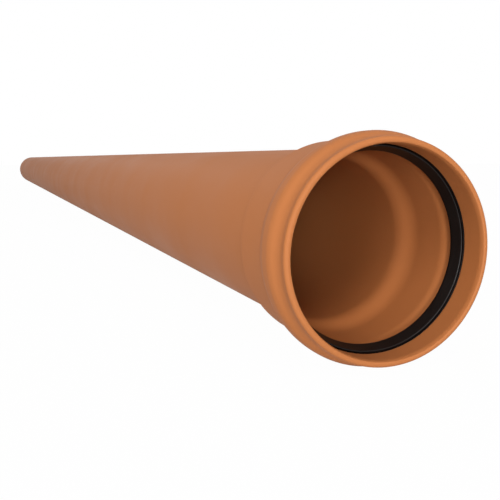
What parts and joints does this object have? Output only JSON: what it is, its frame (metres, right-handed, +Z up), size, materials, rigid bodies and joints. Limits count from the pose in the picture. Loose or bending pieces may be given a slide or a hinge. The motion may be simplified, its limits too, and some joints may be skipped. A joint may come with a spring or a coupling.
{
  "type": "underground drain pipe with ring-seal socket",
  "caption": "Long orange-brown PVC-U drain pipe: plain chamfered end, belled socket with a raised ring housing, rounded lip and black rubber lip seal.",
  "frame": {"origin": "centre of the pipe's bounding box: on its axis, half way along its length", "axes": "+X runs along the pipe's axis and out of the socket mouth, +Z is up, +Y completes the frame; the pipe lies with its axis level"},
  "size_m": [3.07, 0.128, 0.1284],
  "materials": {
    "pipe_plastic": "extruded PVC-U, smooth with a soft satin sheen",
    "ring_rubber": "moulded black rubber, lightly lubricated"
  },
  "bodies": {
    "root": {"pipe": "pipe_plastic", "ring_seal": "ring_rubber"}
  },
  "joints": []
}
